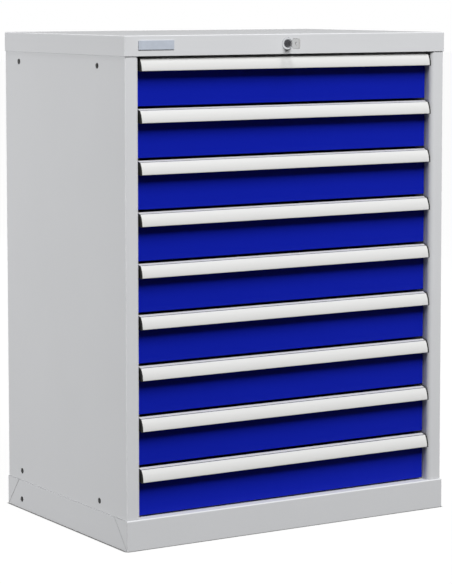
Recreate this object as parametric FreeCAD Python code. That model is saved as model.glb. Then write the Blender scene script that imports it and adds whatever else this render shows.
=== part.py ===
import FreeCAD, Part
import math
import os

from FreeCAD import Vector

# Tool cabinet with a stack of equal drawers, in millimetres.
# +X is to the right seen from the front, +Y to the back, +Z up.
# Lengths along Y are counted from the plinth's front face, and those along Z from the floor.

# Overall size
WIDTH = 760.0
DEPTH = 515.0
HEIGHT = 1000.0
DRAWERS = 9
PLINTH_HEIGHT = 60.0
COVER_HEIGHT = 40.0

# Sheet of the casing, the inside radius of its soft bends and the cover's eased edges
SHEET = 1.5
BEND = 1.0
COVER_EDGE = 1.2
COVER_SETBACK = 1.5

# Corner posts, folded from the side panels with a large radius beside the opening
POST_FACE = 22.0
POST_ROUND = 9.5
POST_RETURN = 14.0
REAR_FLANGE = 25.0

# Plinth
LEDGE_DEPTH = 45.0
FOOT_RETURN = 20.0
SIDE_RETURN = 25.0
EAR_LENGTH = 50.0
SEAM = 0.8
FLOOR_SETBACK = 30.0

# Crossbar behind the front of the cover
CROSSBAR_DEPTH = 25.0
CROSSBAR_LIFT = 1.0

# Drawer front
FRONT_SETBACK = 20.0
FRONT_SHEET = 1.2
FRONT_SIDE_GAP = 3.0
FRONT_LIFT = 3.5
FRONT_FOLD = 13.0
FRONT_EDGE = 0.8

# Drawer tray behind the front
TRAY_SHEET = 1.0
TRAY_LIFT = 8.0
TRAY_HEIGHT = 80.0
TRAY_RIM = 4.0
TRAY_REAR_SPACE = 36.0
DRAWER_RAIL_SETBACK = 35.0

# Grip handle, an aluminium section under the top edge of the drawer front
HANDLE_WALL = 1.8
HANDLE_TOP_GAP = 1.3
HANDLE_DROP = 3.5
HANDLE_CREST = 11.8
HANDLE_REACH = 19.1
HANDLE_FACE = 23.5
HANDLE_LEG = 19.0
CAP_THICKNESS = 3.2
CAP_SIDE_GAP = 1.3
CAP_TAIL = 3.5
SPIGOT_LENGTH = 6.0
SPIGOT_HEIGHT = 8.0
SPIGOT_DEPTH = 6.0
SPIGOT_PLAY = 0.1

# Telescopic runners: a rail on the upright, a middle rail with rollers, a rail on the tray
RAIL_SHEET = 1.5
RAIL_HEIGHT = 34.0
RAIL_LIFT = 50.0
RAIL_DEPTH = 5.8
RAIL_GAP = 0.5
PASSING_GAP = 0.5
LIP_REACH = 3.2
LIP_CLEARANCE = 1.5
ROLLER_CLEARANCE = 0.3
ROLLER_SIDES = 12
ROLLER_SPREAD = 190.0
ROLLER_END = 20.0
CABINET_RAIL_SETBACK = 35.0
CABINET_RAIL_REAR_SPACE = 15.0
MIDDLE_RAIL_REAR_SPACE = 31.0

# Uprights that carry the runners
UPRIGHT_WIDTH = 30.0
UPRIGHT_SETBACK = 32.0
UPRIGHT_REAR_SPACE = 17.0

# Lock in the front of the cover, a little to the left of the middle
LOCK_OFFSET = -10.0
LOCK_DROP = 19.0
ROSETTE_RADIUS = 12.5
ROSETTE_THICKNESS = 3.0
ROSETTE_EDGE = 1.4
HEAD_RADIUS = 8.5
HEAD_LENGTH = 5.5
LOCK_BODY_RADIUS = 9.5
LOCK_BODY_LENGTH = 22.5
PLUG_RADIUS = 6.4
PLUG_RECESS = 0.4
PLUG_TAIL = 3.0
PLUG_CLEARANCE = 0.15
NUT_ACROSS_FLATS = 24.0
NUT_THICKNESS = 4.0
THREAD_CLEARANCE = 0.15
CROSSBAR_HOLE_CLEARANCE = 1.0

# Key
KEY_THICKNESS = 2.0
KEY_BLADE_HEIGHT = 7.0
KEY_BLADE_LENGTH = 22.0
KEY_NECK = 13.0
KEY_BOW_LENGTH = 24.0
KEY_BOW_HEIGHT = 20.6
KEY_BOW_RADIUS = 4.0
KEY_HOLE_RADIUS = 2.8
KEY_CLEARANCE = 0.3
KEY_NOTCHES = 4
KEY_NOTCH_DEPTH = 1.4
KEY_NOTCH_PITCH = 3.6

# Linkage from the lock to the drawers
ROD_RADIUS = 4.0
ROD_CLEARANCE = 0.15
CRANK_RADIUS = 10.0
CRANK_THICKNESS = 3.0
CRANK_PIN_RADIUS = 3.0
CRANK_EYE_WALL = 3.0
CRANK_GAP = 3.0
YOKE_CLEARANCE = 0.5
YOKE_WALL = 6.0
BAR_HALF_WIDTH = 12.0
BAR_THICKNESS = 3.0
BAR_REAR_SPACE = 18.0
BAR_BELOW_HOOK = 20.0
HOOK_SHEET = 2.0
HOOK_HALF_WIDTH = 8.0
HOOK_LIFT = 47.5
HOOK_LEG = 14.0
HOOK_LIP = 13.0
HOOK_REACH = 10.0
CATCH_HALF_WIDTH = 12.0
CATCH_LIFT = 80.0
CATCH_LEG = 14.0
CATCH_LIP = 16.0
CATCH_REACH = 12.0
GUIDE_LENGTH = 20.0
GUIDE_WALL = 5.0
GUIDE_CLEARANCE = 0.3
GUIDE_STEP = 3
BRACKET_HALF_WIDTH = 15.0
BRACKET_FOOT = 20.0
BRACKET_BELOW_ROD = 12.0
BRACKET_FROM_BAR = 14.0

# Plugs on the sides
HOLE_PLUG_RADIUS = 5.2
HOLE_PLUG_DOME = 1.2
HOLE_FROM_FRONT = 114.0
HOLE_FROM_BACK = 63.0
HOLE_BELOW_COVER = 20.0
HOLE_ABOVE_PLINTH = 20.0
PLINTH_HOLE_HEIGHT = 20.0

# Places worked out from those sizes
HALF_WIDTH = WIDTH / 2
PITCH = (HEIGHT - PLINTH_HEIGHT - COVER_HEIGHT) / DRAWERS
ROOF = HEIGHT - SHEET
BODY_HALF = HALF_WIDTH - SHEET
BODY_INNER = BODY_HALF - SHEET
BODY_FRONT = COVER_SETBACK + SHEET
BODY_BACK = DEPTH - SHEET
PANEL_BACK = BODY_BACK - SHEET
PANEL_FRONT = PANEL_BACK - SHEET
OPENING_HALF = BODY_HALF - POST_FACE - POST_ROUND
ROUND_BACK = BODY_FRONT + POST_ROUND
FLOOR_TOP = PLINTH_HEIGHT + SHEET

FRONT_HALF = OPENING_HALF - FRONT_SIDE_GAP
FRONT_BACK = FRONT_SETBACK + FRONT_SHEET
HANDLE_TOP = PITCH - HANDLE_TOP_GAP
FRONT_TOP = HANDLE_TOP - HANDLE_WALL
CAP_HALF = OPENING_HALF - CAP_SIDE_GAP
HANDLE_HALF = CAP_HALF - CAP_THICKNESS

WEB_OUTER = OPENING_HALF - PASSING_GAP - LIP_REACH
WEB_INNER = WEB_OUTER - RAIL_SHEET
CABINET_RAIL_INNER = WEB_OUTER + RAIL_GAP
UPRIGHT_INNER = CABINET_RAIL_INNER + RAIL_DEPTH
DRAWER_RAIL_OUTER = WEB_INNER - RAIL_GAP
TRAY_HALF = DRAWER_RAIL_OUTER - RAIL_DEPTH
ROLLER_RADIUS = RAIL_HEIGHT / 2 - RAIL_SHEET - ROLLER_CLEARANCE
ROLLER_WIDTH = RAIL_DEPTH + RAIL_GAP - RAIL_SHEET - ROLLER_CLEARANCE
MIDDLE_HEIGHT = RAIL_HEIGHT + 2 * (LIP_CLEARANCE + RAIL_SHEET)

TRAY_BACK = DEPTH - TRAY_REAR_SPACE
TRAY_TOP = TRAY_LIFT + TRAY_HEIGHT
CABINET_RAIL_BACK = DEPTH - CABINET_RAIL_REAR_SPACE
MIDDLE_RAIL_BACK = DEPTH - MIDDLE_RAIL_REAR_SPACE

LOCK_HEIGHT = HEIGHT - LOCK_DROP
HEAD_FRONT = COVER_SETBACK - ROSETTE_THICKNESS - HEAD_LENGTH
LOCK_BODY_BACK = COVER_SETBACK + LOCK_BODY_LENGTH
PLUG_FRONT = HEAD_FRONT + PLUG_RECESS
PLUG_BACK = LOCK_BODY_BACK + PLUG_TAIL
KEY_TIP = PLUG_FRONT + KEY_BLADE_LENGTH
KEY_FRONT = PLUG_FRONT - KEY_NECK - KEY_BOW_LENGTH

BAR_BACK = DEPTH - BAR_REAR_SPACE
BAR_FRONT = BAR_BACK - BAR_THICKNESS
CRANK_BACK = BAR_FRONT - CRANK_GAP
CRANK_FRONT = CRANK_BACK - CRANK_THICKNESS
CRANK_OFFSET = CRANK_RADIUS * math.sqrt(0.5)
YOKE_HEIGHT = LOCK_HEIGHT - CRANK_OFFSET

# The key stands in front of everything else, and the frame's Y origin is the middle of the whole depth
Y_ORIGIN = (KEY_FRONT + DEPTH) / 2

ALONG_X = FreeCAD.Rotation(Vector(1, 1, 1), 120)
ALONG_Y = FreeCAD.Rotation(Vector(0, 1, 1), 180)


def box(x, y, z):
    """Block between pairs of limits."""
    return Part.makeBox(x[1] - x[0], y[1] - y[0], z[1] - z[0], Vector(x[0], y[0], z[0]))


def rod(radius, start, end, x=0.0, z=0.0):
    """Round bar along Y."""
    return Part.makeCylinder(radius, end - start, Vector(x, start, z), Vector(0, 1, 0))


def pin_across(radius, start, end, y, z):
    """Round bar along X."""
    return Part.makeCylinder(radius, end - start, Vector(start, y, z), Vector(1, 0, 0))


def mirrored(shape):
    """The same shape on the other side of the middle plane."""
    return shape.mirror(Vector(0, 0, 0), Vector(1, 0, 0))


def lifted(shape, height):
    """A copy moved up."""
    return shape.translated(Vector(0, 0, height))


def polygon(points):
    """Flat face inside straight edges."""
    corners = [Vector(u, v, 0) for u, v in points]
    return Part.Face(Part.makePolygon(corners + corners[:1]))


def arc_edge(centre, start, end):
    """Short arc about a centre from one point to another."""
    middle = (start + end) / 2 - centre
    radius = (start - centre).Length
    return Part.Arc(start, centre + middle.normalize() * radius, end).toShape()


def folded(points, sheet, hand, rounded=None):
    """Outline of bent sheet. The points lie on one face, with the metal to their left (1) or right (-1).

    Rounded gives the inside radius of a soft bend by its number, and the other bends are sharp.
    """
    inside_radii = rounded or {}
    line = [Vector(u, v, 0) for u, v in points]
    runs = [(b - a).normalize() for a, b in zip(line, line[1:])]
    sides = [Vector(-run.y, run.x, 0) * hand for run in runs]
    near = [(line[0], None, line[0])]
    far = [(line[0] + sides[0] * sheet, None, line[0] + sides[0] * sheet)]
    for number, corner in enumerate(line[1:-1], start=1):
        before, after = sides[number - 1], sides[number]
        if number not in inside_radii:
            across = corner + (before + after) * (sheet / (1 + before.dot(after)))
            near.append((corner, None, corner))
            far.append((across, None, across))
            continue
        inward = before.cross(after).z * hand > 0
        radius = inside_radii[number] + (sheet if inward else 0)
        tangent = radius * math.tan(before.getAngle(after) / 2)
        start = corner - runs[number - 1] * tangent
        end = corner + runs[number] * tangent
        centre = start + before * (radius if inward else -radius)
        near.append((start, centre, end))
        far.append((start + before * sheet, centre, end + after * sheet))
    near.append((line[-1], None, line[-1]))
    far.append((line[-1] + sides[-1] * sheet, None, line[-1] + sides[-1] * sheet))
    edges = []
    for stops in (near, far[::-1]):
        backwards = stops is not near
        for stop, following in zip(stops, stops[1:] + [None]):
            first, centre, last = stop if not backwards else stop[::-1]
            if centre is not None:
                edges.append(arc_edge(centre, first, last))
            if following is not None:
                edges.append(Part.makeLine(last, following[2] if backwards else following[0]))
    edges.append(Part.makeLine(near[-1][2], far[-1][2]))
    edges.append(Part.makeLine(far[0][0], near[0][0]))
    return Part.Face(Part.Wire(Part.__sortEdges__(edges)))


def run_x(face, start, end):
    """Extrudes an outline drawn in Y and Z along X."""
    solid = face.extrude(Vector(0, 0, end - start))
    solid.Placement = FreeCAD.Placement(Vector(start, 0, 0), ALONG_X)
    return solid


def run_y(face, start, end):
    """Extrudes an outline drawn in X and Z along Y."""
    flipped = face.mirror(Vector(0, 0, 0), Vector(1, 0, 0))
    solid = flipped.extrude(Vector(0, 0, end - start))
    solid.Placement = FreeCAD.Placement(Vector(0, start, 0), ALONG_Y)
    return solid


def run_z(face, start, end):
    """Extrudes an outline drawn in X and Y along Z."""
    return lifted(face.extrude(Vector(0, 0, end - start)), start)


def hole_places():
    """Depth and height of each plug on a side panel."""
    depths = (HOLE_FROM_FRONT, DEPTH - HOLE_FROM_BACK)
    heights = (PLINTH_HEIGHT + HOLE_ABOVE_PLINTH, HEIGHT - COVER_HEIGHT - HOLE_BELOW_COVER)
    return [(y, z) for y in depths for z in heights]


def side_panel():
    """Right side, folded round into the front post and the rear flange."""
    outline = folded([
        (BODY_HALF - REAR_FLANGE, BODY_BACK),
        (BODY_HALF, BODY_BACK),
        (BODY_HALF, BODY_FRONT),
        (OPENING_HALF, BODY_FRONT),
        (OPENING_HALF, ROUND_BACK + POST_RETURN),
    ], SHEET, -1, rounded={2: BEND, 3: POST_ROUND - SHEET})
    return run_z(outline, PLINTH_HEIGHT, ROOF)


def ear():
    """Triangle of the plinth's front piece that laps round the corner, drawn in Y and Z."""
    round_over = BEND + SHEET
    foot = Vector(0, 0, 0)
    low = Vector(0, PLINTH_HEIGHT - round_over, 0)
    high = Vector(round_over, PLINTH_HEIGHT, 0)
    tip = Vector(EAR_LENGTH, PLINTH_HEIGHT, 0)
    edges = [
        Part.makeLine(foot, low),
        arc_edge(Vector(round_over, PLINTH_HEIGHT - round_over, 0), low, high),
        Part.makeLine(high, tip),
        Part.makeLine(tip, foot),
    ]
    return Part.Face(Part.Wire(edges))


def plinth_front():
    """Front of the plinth, with the ledge under the last drawer and an ear round each corner."""
    outline = folded([
        (FOOT_RETURN, 0), (0, 0), (0, PLINTH_HEIGHT), (LEDGE_DEPTH, PLINTH_HEIGHT),
    ], SHEET, -1, rounded={2: BEND})
    piece = run_x(outline, -HALF_WIDTH, HALF_WIDTH)
    foot_end = box((HALF_WIDTH - SHEET, HALF_WIDTH + 1), (SHEET, FOOT_RETURN + 1), (-1, SHEET + 1))
    piece = piece.cut([foot_end, mirrored(foot_end)])
    end = run_x(ear(), HALF_WIDTH - SHEET, HALF_WIDTH)
    return piece.fuse([end, mirrored(end)]).removeSplitter()


def plinth_side():
    """Right side of the plinth, cut slanting to meet the ears."""
    outline = folded([
        (HALF_WIDTH - FOOT_RETURN, 0), (HALF_WIDTH, 0),
        (HALF_WIDTH, PLINTH_HEIGHT), (HALF_WIDTH - SIDE_RETURN, PLINTH_HEIGHT),
    ], SHEET, 1)
    piece = run_y(outline, 0, DEPTH)
    seam_run = SEAM * math.hypot(EAR_LENGTH, PLINTH_HEIGHT) / PLINTH_HEIGHT
    slope = EAR_LENGTH / PLINTH_HEIGHT
    below, above = -1.0, PLINTH_HEIGHT + 1.0
    wedge = polygon([
        (-1, below), (SHEET, below), (SHEET, (SHEET - seam_run) / slope),
        (seam_run + slope * above, above), (-1, above),
    ])
    ends = run_x(wedge, HALF_WIDTH - SIDE_RETURN - 1, HALF_WIDTH + 1)
    foot_clear = box(
        (HALF_WIDTH - FOOT_RETURN - 1, HALF_WIDTH - SHEET), (-1, FOOT_RETURN + SEAM), (-1, SHEET + 1))
    for cutter in (ends, foot_clear):
        piece = piece.cut([cutter, to_back(cutter)])
    return piece


def to_back(shape):
    """The same shape seen in a mirror halfway down the depth."""
    return shape.mirror(Vector(0, DEPTH / 2, 0), Vector(0, 1, 0))


def bottom_panel():
    """Floor of the casing, standing on the plinth."""
    return box((-BODY_INNER, BODY_INNER), (FLOOR_SETBACK, PANEL_BACK), (PLINTH_HEIGHT, FLOOR_TOP))


def back_panel():
    """Back, set in front of the side panels' rear flanges."""
    return box((-BODY_INNER, BODY_INNER), (PANEL_FRONT, PANEL_BACK), (FLOOR_TOP, ROOF))


def top_cover():
    """Lid with a flange on every side and eased outer edges."""
    lid = box((-HALF_WIDTH, HALF_WIDTH), (COVER_SETBACK, DEPTH), (HEIGHT - COVER_HEIGHT, HEIGHT))
    eased = [
        edge for edge in lid.Edges
        if edge.CenterOfMass.z > HEIGHT - 0.1 or abs(edge.tangentAt(edge.FirstParameter).z) > 0.9
    ]
    lid = lid.makeChamfer(COVER_EDGE, eased)
    inside = box((-BODY_HALF, BODY_HALF), (BODY_FRONT, BODY_BACK), (HEIGHT - COVER_HEIGHT - 1, ROOF))
    radius = LOCK_BODY_RADIUS + THREAD_CLEARANCE
    lock_hole = rod(radius, COVER_SETBACK - 1, BODY_FRONT + 1, LOCK_OFFSET, LOCK_HEIGHT)
    return lid.cut([inside, lock_hole])


def front_crossbar():
    """Channel between the posts behind the front of the cover."""
    low = HEIGHT - COVER_HEIGHT + CROSSBAR_LIFT
    back = ROUND_BACK + CROSSBAR_DEPTH
    outline = folded([(back, low), (ROUND_BACK, low), (ROUND_BACK, ROOF), (back, ROOF)], SHEET, -1)
    bar = run_x(outline, -OPENING_HALF, OPENING_HALF)
    radius = LOCK_BODY_RADIUS + CROSSBAR_HOLE_CLEARANCE
    return bar.cut(rod(radius, ROUND_BACK - 1, ROUND_BACK + SHEET + 1, LOCK_OFFSET, LOCK_HEIGHT))


def upright(start):
    """Channel on the right side panel that carries the runners."""
    end = start + UPRIGHT_WIDTH
    outline = folded([
        (BODY_INNER, start), (UPRIGHT_INNER, start), (UPRIGHT_INNER, end), (BODY_INNER, end),
    ], SHEET, -1)
    return run_z(outline, FLOOR_TOP, HEIGHT - COVER_HEIGHT)


def runner_uprights():
    """Front and rear upright on both sides."""
    rear_start = DEPTH - UPRIGHT_REAR_SPACE - UPRIGHT_WIDTH
    right = [upright(UPRIGHT_SETBACK), upright(rear_start)]
    return right + [mirrored(post) for post in right]


def cell_bases():
    """Height of the bottom of each drawer's place, from the top drawer down."""
    return [PLINTH_HEIGHT + PITCH * (DRAWERS - 1 - i) for i in range(DRAWERS)]


def channel(back, mouth):
    """Section of a rail that opens towards its mouth, drawn in X and Z about the rail's middle."""
    half = RAIL_HEIGHT / 2
    hand = -1 if back > mouth else 1
    return folded([(mouth, half), (back, half), (back, -half), (mouth, -half)], RAIL_SHEET, hand)


def cabinet_rail():
    """Right outer rail, open to the inside."""
    rail = run_y(channel(UPRIGHT_INNER, CABINET_RAIL_INNER), CABINET_RAIL_SETBACK, CABINET_RAIL_BACK)
    return lifted(rail, RAIL_LIFT)


def middle_rail():
    """Right middle rail, a Z section that passes between the other two."""
    half = MIDDLE_HEIGHT / 2
    tip = WEB_OUTER + LIP_REACH
    foot = WEB_INNER - LIP_REACH - RAIL_SHEET
    low = RAIL_SHEET - half
    outline = folded([(tip, half), (WEB_INNER, half), (WEB_INNER, low), (foot, low)], RAIL_SHEET, 1)
    return lifted(run_y(outline, DRAWER_RAIL_SETBACK, MIDDLE_RAIL_BACK), RAIL_LIFT)


def roller(start, y):
    """Roller riveted to a face of the middle rail, with few faces because there are so many."""
    corner = ROLLER_RADIUS / math.cos(math.pi / ROLLER_SIDES)
    turns = [2 * math.pi * (i + 0.5) / ROLLER_SIDES for i in range(ROLLER_SIDES)]
    outline = polygon([(y + corner * math.cos(a), RAIL_LIFT + corner * math.sin(a)) for a in turns])
    return run_x(outline, start, start + ROLLER_WIDTH)


def rollers():
    """Right rollers: the front pair runs in the tray's rail, the rear pair in the cabinet's."""
    front = DRAWER_RAIL_SETBACK + ROLLER_END
    rear = MIDDLE_RAIL_BACK - ROLLER_END
    inside = [roller(WEB_INNER - ROLLER_WIDTH, y) for y in (front, front + ROLLER_SPREAD)]
    return inside + [roller(WEB_OUTER, y) for y in (rear - ROLLER_SPREAD, rear)]


def drawer_front():
    """Drawer front, a shallow pan open to the back."""
    pan = box(
        (-FRONT_HALF, FRONT_HALF), (FRONT_SETBACK, FRONT_SETBACK + FRONT_FOLD), (FRONT_LIFT, FRONT_TOP))
    rim = [edge for edge in pan.Edges if abs(edge.CenterOfMass.y - FRONT_SETBACK) < 0.1]
    pan = pan.makeChamfer(FRONT_EDGE, rim)
    inside = box(
        (FRONT_SHEET - FRONT_HALF, FRONT_HALF - FRONT_SHEET),
        (FRONT_BACK, FRONT_SETBACK + FRONT_FOLD + 1),
        (FRONT_LIFT + FRONT_SHEET, FRONT_TOP - FRONT_SHEET))
    return pan.cut(inside)


def tray_box():
    """Floor, sides with turned-out rims, and the two end walls of the tray."""
    rim_under = TRAY_TOP - TRAY_SHEET
    outline = folded([
        (-TRAY_HALF - TRAY_RIM, rim_under), (-TRAY_HALF, rim_under), (-TRAY_HALF, TRAY_LIFT),
        (TRAY_HALF, TRAY_LIFT), (TRAY_HALF, rim_under), (TRAY_HALF + TRAY_RIM, rim_under),
    ], TRAY_SHEET, 1)
    trough = run_y(outline, FRONT_BACK, TRAY_BACK)
    wall_half = TRAY_HALF - TRAY_SHEET / 2
    walls = [
        box((-wall_half, wall_half), (y, y + TRAY_SHEET), (TRAY_LIFT + TRAY_SHEET / 2, TRAY_TOP))
        for y in (FRONT_BACK, TRAY_BACK - TRAY_SHEET)
    ]
    return trough.fuse(walls).removeSplitter()


def drawer_rail():
    """Right rail welded to the tray, open to the outside."""
    rail = run_y(channel(TRAY_HALF, DRAWER_RAIL_OUTER), DRAWER_RAIL_SETBACK, TRAY_BACK)
    return lifted(rail, RAIL_LIFT)


def catch():
    """Bent strip on the tray's back that the lock's hook drops behind."""
    outline = folded([
        (TRAY_BACK, CATCH_LIFT - CATCH_LEG), (TRAY_BACK, CATCH_LIFT),
        (TRAY_BACK + CATCH_REACH, CATCH_LIFT), (TRAY_BACK + CATCH_REACH, CATCH_LIFT - CATCH_LIP),
    ], HOOK_SHEET, -1)
    return run_x(outline, LOCK_OFFSET - CATCH_HALF_WIDTH, LOCK_OFFSET + CATCH_HALF_WIDTH)


def grip_points():
    """Corners of the handle's outside in Y and Z, and the centre and radius of its curved face."""
    top = Vector(FRONT_SETBACK, HANDLE_TOP, 0)
    crest = Vector(FRONT_SETBACK - HANDLE_CREST, HANDLE_TOP - HANDLE_DROP, 0)
    lip = Vector(FRONT_SETBACK - HANDLE_REACH, HANDLE_TOP - HANDLE_DROP - HANDLE_FACE, 0)
    bulge = HANDLE_REACH - HANDLE_CREST
    radius = (HANDLE_FACE ** 2 + bulge ** 2) / (2 * bulge)
    return top, crest, lip, lip + Vector(radius, 0, 0), radius


def handle():
    """Grip section: sloping top, face that curves down and forward, open underneath for the fingers."""
    top, crest, lip, centre, radius = grip_points()
    shrink = (radius - HANDLE_WALL) / radius
    inner_crest = centre + (crest - centre) * shrink
    inner_lip = centre + (lip - centre) * shrink
    leg_x = FRONT_SETBACK - HANDLE_WALL
    inner_top = Vector(leg_x, HANDLE_TOP - HANDLE_WALL - HANDLE_WALL * HANDLE_DROP / HANDLE_CREST, 0)
    leg_low = Vector(leg_x, HANDLE_TOP - HANDLE_LEG, 0)
    leg_back = Vector(FRONT_SETBACK, HANDLE_TOP - HANDLE_LEG, 0)
    edges = [
        Part.makeLine(top, crest),
        arc_edge(centre, crest, lip),
        Part.makeLine(lip, inner_lip),
        arc_edge(centre, inner_lip, inner_crest),
        Part.makeLine(inner_crest, inner_top),
        Part.makeLine(inner_top, leg_low),
        Part.makeLine(leg_low, leg_back),
        Part.makeLine(leg_back, top),
    ]
    return run_x(Part.Face(Part.Wire(edges)), -HANDLE_HALF, HANDLE_HALF)


def end_cap():
    """Right cap of the handle, with a spigot inside the section."""
    top, crest, lip, centre, radius = grip_points()
    low = lip - Vector(0, HANDLE_WALL / 2, 0)
    tail = Vector(FRONT_SETBACK, low.y + CAP_TAIL, 0)
    edges = [
        Part.makeLine(top, crest),
        arc_edge(centre, crest, lip),
        Part.makeLine(lip, low),
        Part.makeLine(low, tail),
        Part.makeLine(tail, top),
    ]
    plate = run_x(Part.Face(Part.Wire(edges)), HANDLE_HALF, CAP_HALF)
    spigot_back = FRONT_SETBACK - HANDLE_WALL - SPIGOT_PLAY
    spigot_top = FRONT_TOP - HANDLE_DROP - SPIGOT_PLAY
    spigot = box(
        (HANDLE_HALF - SPIGOT_LENGTH, HANDLE_HALF),
        (spigot_back - SPIGOT_DEPTH, spigot_back),
        (spigot_top - SPIGOT_HEIGHT, spigot_top))
    return plate.fuse(spigot).removeSplitter()


def lock_body():
    """Housing with a bevelled rosette and a round head in front of the cover."""
    rosette = rod(ROSETTE_RADIUS, COVER_SETBACK - ROSETTE_THICKNESS, COVER_SETBACK)
    rosette = rosette.makeChamfer(ROSETTE_EDGE, [front_rim(rosette)])
    head = rod(HEAD_RADIUS, HEAD_FRONT, COVER_SETBACK - ROSETTE_THICKNESS)
    barrel = rod(LOCK_BODY_RADIUS, COVER_SETBACK, LOCK_BODY_BACK)
    bore = rod(PLUG_RADIUS + PLUG_CLEARANCE, HEAD_FRONT - 1, LOCK_BODY_BACK + 1)
    return lifted(rosette.fuse([head, barrel]).cut(bore).removeSplitter(), LOCK_HEIGHT)


def front_rim(shape):
    """The round edge nearest the front."""
    rims = [edge for edge in shape.Edges if isinstance(edge.Curve, Part.Circle)]
    return min(rims, key=lambda edge: edge.CenterOfMass.y)


def lock_nut():
    """Hexagon nut behind the front of the cover."""
    corner = NUT_ACROSS_FLATS / math.sqrt(3)
    outline = polygon([
        (corner * math.cos(math.radians(60 * i)), corner * math.sin(math.radians(60 * i))) for i in range(6)
    ])
    nut = run_y(outline, BODY_FRONT, BODY_FRONT + NUT_THICKNESS)
    hole = rod(LOCK_BODY_RADIUS + THREAD_CLEARANCE, BODY_FRONT - 1, BODY_FRONT + NUT_THICKNESS + 1)
    return lifted(nut.cut(hole), LOCK_HEIGHT)


def lock_plug():
    """Plug that turns in the housing, with its keyway."""
    half = KEY_BLADE_HEIGHT / 2 + KEY_CLEARANCE
    wide = KEY_THICKNESS / 2 + KEY_CLEARANCE
    keyway = box((-wide, wide), (PLUG_FRONT - 1, KEY_TIP + KEY_CLEARANCE), (-half, half))
    return lifted(rod(PLUG_RADIUS, PLUG_FRONT, PLUG_BACK).cut(keyway), LOCK_HEIGHT)


def key():
    """Flat key: notched blade, neck and a bow with a hole, standing upright in the keyway."""
    half = KEY_BLADE_HEIGHT / 2
    bow_half = KEY_BOW_HEIGHT / 2
    neck_front = PLUG_FRONT - KEY_NECK
    lower = []
    for i in range(KEY_NOTCHES):
        y = KEY_TIP - KEY_NOTCH_PITCH * (i + 1)
        reach = KEY_NOTCH_PITCH / 2.5
        lower += [(y + reach, -half), (y, KEY_NOTCH_DEPTH - half), (y - reach, -half)]
    blade = polygon(
        [(neck_front - 1, half), (KEY_TIP - half, half), (KEY_TIP, 0), (KEY_TIP - half / 2, -half)]
        + lower + [(neck_front - 1, -half)])
    bow = box((0, KEY_THICKNESS), (KEY_FRONT, neck_front), (-bow_half, bow_half))
    corners = [edge for edge in bow.Edges if abs(edge.tangentAt(edge.FirstParameter).x) > 0.9]
    bow = bow.makeFillet(KEY_BOW_RADIUS, corners)
    hole_y = KEY_FRONT + KEY_BOW_LENGTH / 2
    bow = bow.cut(pin_across(KEY_HOLE_RADIUS, -1, KEY_THICKNESS + 1, hole_y, 0))
    whole = run_x(blade, 0, KEY_THICKNESS).fuse(bow).removeSplitter()
    return whole.translated(Vector(-KEY_THICKNESS / 2, 0, LOCK_HEIGHT))


def lock_rod():
    """Long rod from the plug to the crank, with the pin that lifts the lock bar."""
    shaft = rod(ROD_RADIUS, PLUG_BACK, CRANK_BACK)
    eye = CRANK_PIN_RADIUS + CRANK_EYE_WALL
    hub = rod(ROD_RADIUS + CRANK_EYE_WALL, CRANK_FRONT, CRANK_BACK)
    end = rod(eye, CRANK_FRONT, CRANK_BACK, -CRANK_RADIUS)
    arm = box((-CRANK_RADIUS, 0), (CRANK_FRONT, CRANK_BACK), (-eye, eye))
    pin = rod(CRANK_PIN_RADIUS, CRANK_BACK, BAR_BACK + YOKE_CLEARANCE, -CRANK_RADIUS)
    crank = hub.fuse([end, arm, pin])
    crank.rotate(Vector(0, 0, 0), Vector(0, 1, 0), -45)
    return lifted(shaft.fuse(crank).removeSplitter(), LOCK_HEIGHT)


def lock_bar():
    """Flat bar behind the drawers, with a slotted head that the crank pin runs in."""
    slot_half = CRANK_PIN_RADIUS + YOKE_CLEARANCE
    left = -CRANK_RADIUS - slot_half
    right = -CRANK_OFFSET + slot_half
    low = PLINTH_HEIGHT + HOOK_LIFT - HOOK_LEG - BAR_BELOW_HOOK
    head_low = YOKE_HEIGHT - slot_half - YOKE_WALL
    head_high = YOKE_HEIGHT + slot_half + YOKE_WALL
    strip = box((-BAR_HALF_WIDTH, BAR_HALF_WIDTH), (BAR_FRONT, BAR_BACK), (low, head_high))
    head = box((left - YOKE_WALL, BAR_HALF_WIDTH), (BAR_FRONT, BAR_BACK), (head_low, head_high))
    slot = box(
        (left, right), (BAR_FRONT - 1, BAR_BACK + 1), (YOKE_HEIGHT - slot_half, YOKE_HEIGHT + slot_half))
    return strip.fuse(head).removeSplitter().cut(slot)


def hook():
    """Bent strip on the lock bar whose lip rises behind a drawer's catch."""
    tip = BAR_FRONT - HOOK_REACH
    outline = folded([
        (BAR_FRONT, HOOK_LIFT - HOOK_LEG), (BAR_FRONT, HOOK_LIFT + HOOK_SHEET / 2),
        (tip + HOOK_SHEET, HOOK_LIFT + HOOK_SHEET / 2), (tip + HOOK_SHEET, HOOK_LIFT + HOOK_LIP),
    ], HOOK_SHEET, 1)
    return run_x(outline, -HOOK_HALF_WIDTH, HOOK_HALF_WIDTH)


def bar_guide():
    """Moulded block on the back panel with a slot for the lock bar."""
    slot_half = BAR_HALF_WIDTH + GUIDE_CLEARANCE
    slot_front = BAR_FRONT - GUIDE_CLEARANCE
    half = slot_half + GUIDE_WALL
    length = (-GUIDE_LENGTH / 2, GUIDE_LENGTH / 2)
    block = box((-half, half), (slot_front - GUIDE_WALL / 2, PANEL_FRONT), length)
    slot = box((-slot_half, slot_half), (slot_front, BAR_BACK + GUIDE_CLEARANCE), length)
    return block.cut(slot)


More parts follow.
